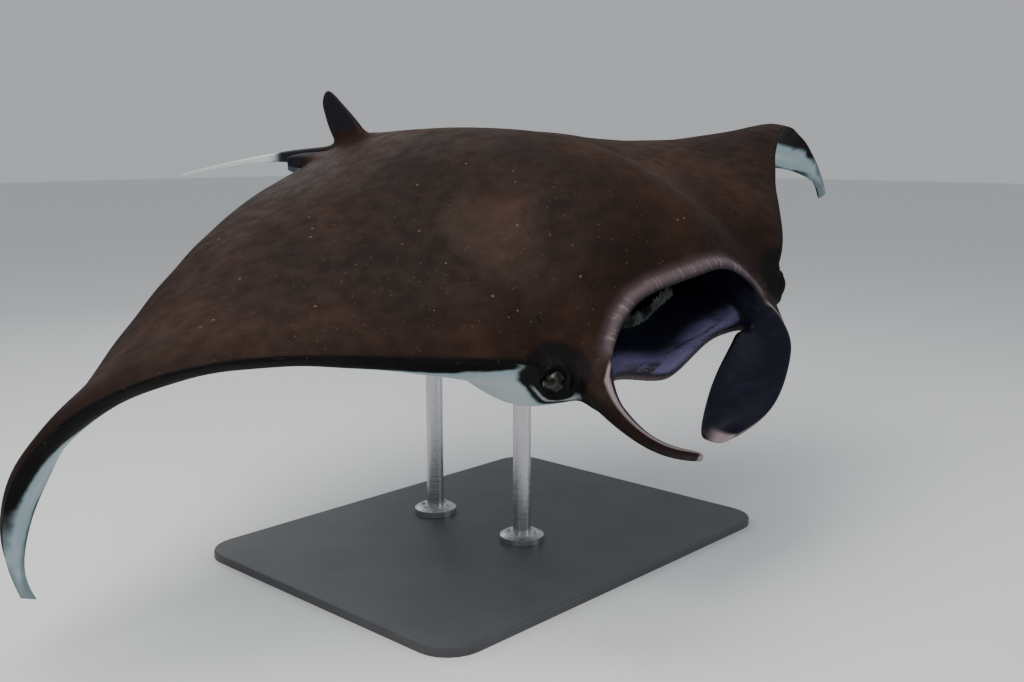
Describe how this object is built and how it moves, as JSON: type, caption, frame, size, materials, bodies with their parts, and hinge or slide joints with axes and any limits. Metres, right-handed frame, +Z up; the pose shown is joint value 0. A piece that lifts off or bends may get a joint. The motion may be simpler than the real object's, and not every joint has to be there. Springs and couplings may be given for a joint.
{
  "type": "manta ray display model",
  "caption": "Life-size manta ray model, mouth open and head lobes unfurled, wings curling down at the tips, held banked on two rods above a flat base.",
  "frame": {"origin": "centre of the stand base's underside, on the floor", "axes": "+Z up; the ray faces -Y, its left wing reaches towards +X and its right wing towards -X; -Z is the base's bearing face"},
  "size_m": [2.7874, 2.4143, 1.228],
  "materials": {
    "skin": "dark brown wet-looking skin, pale underneath",
    "skin_pale": "pale skin of the underside and of the tail's outer half",
    "eye": "glossy dark eye",
    "stand_base": "satin charcoal paint",
    "stand_rod": "satin steel"
  },
  "bodies": {
    "root": {"dorsal_fin": "skin", "eye_left": "eye", "eye_right": "eye", "head": "skin", "head_lobe_left": "skin", "head_lobe_right": "skin", "lower_jaw": "skin_pale", "pelvic_fin_left": "skin", "pelvic_fin_right": "skin", "stand_base": "stand_base", "stand_rod_front": "stand_rod", "stand_rod_rear": "stand_rod", "tail_base": "skin", "tail_middle": "skin_pale", "tail_tip": "skin_pale", "trunk": "skin", "wing_left_middle": "skin", "wing_left_root": "skin", "wing_left_tip": "skin", "wing_right_middle": "skin", "wing_right_root": "skin", "wing_right_tip": "skin"}
  },
  "joints": []
}
